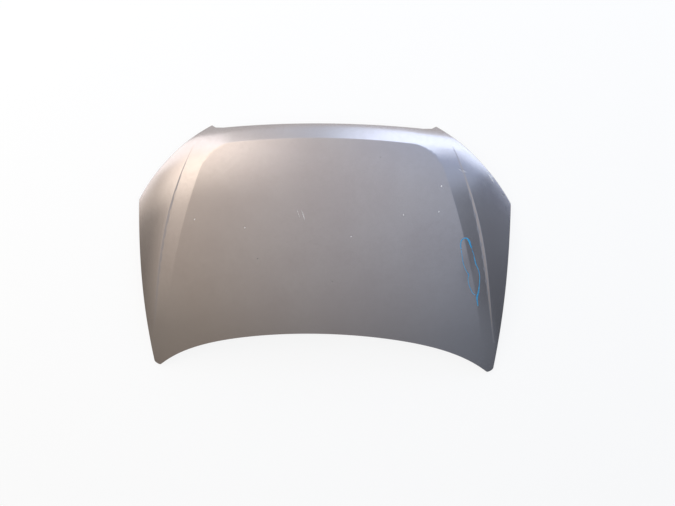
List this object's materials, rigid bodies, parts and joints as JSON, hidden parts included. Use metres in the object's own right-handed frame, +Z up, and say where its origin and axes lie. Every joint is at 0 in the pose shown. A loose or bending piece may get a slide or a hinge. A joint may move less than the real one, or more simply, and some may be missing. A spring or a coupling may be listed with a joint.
{
  "type": "car bonnet",
  "caption": "Pressed steel car bonnet: painted outer skin hemmed round a ribbed inner frame, with hinge seats, lock striker and rubber buffers.",
  "frame": {"origin": "centre of the bounding box in plan, on the floor plane that the rear corners and the front ears rest on", "axes": "+X across the car towards the right of the picture, +Y forward to the nose, +Z up through the outer face"},
  "size_m": [1.4654, 0.984, 0.1457],
  "materials": {
    "silver_paint": "silver metallic basecoat under clear coat",
    "underside_paint": "thin silver basecoat, satin",
    "zinc_steel": "zinc plated",
    "rubber": "matt black",
    "plastic": "matt black",
    "mastic": "matt grey"
  },
  "bodies": {
    "root": {"outer_skin": "silver_paint", "inner_frame": "underside_paint", "hinge_reinforcement_right": "zinc_steel", "hinge_reinforcement_left": "zinc_steel", "hinge_nut_rear_right": "zinc_steel", "hinge_nut_front_right": "zinc_steel", "hinge_nut_rear_left": "zinc_steel", "hinge_nut_front_left": "zinc_steel", "latch_reinforcement": "zinc_steel", "striker_plate": "zinc_steel", "striker_loop": "zinc_steel", "striker_bolt_right": "zinc_steel", "striker_bolt_left": "zinc_steel", "striker_nut_right": "zinc_steel", "striker_nut_left": "zinc_steel", "front_buffer_right": "rubber", "front_buffer_left": "rubber", "side_buffer_right": "rubber", "side_buffer_left": "rubber", "prop_rod_bush": "plastic", "mastic_1_right": "mastic", "mastic_1_left": "mastic", "mastic_2_right": "mastic", "mastic_2_left": "mastic", "mastic_3_right": "mastic", "mastic_3_left": "mastic", "mastic_4_right": "mastic", "mastic_4_left": "mastic", "mastic_5_right": "mastic", "mastic_5_left": "mastic", "mastic_6_right": "mastic", "mastic_6_left": "mastic", "mastic_7_right": "mastic", "mastic_7_left": "mastic"}
  },
  "joints": []
}
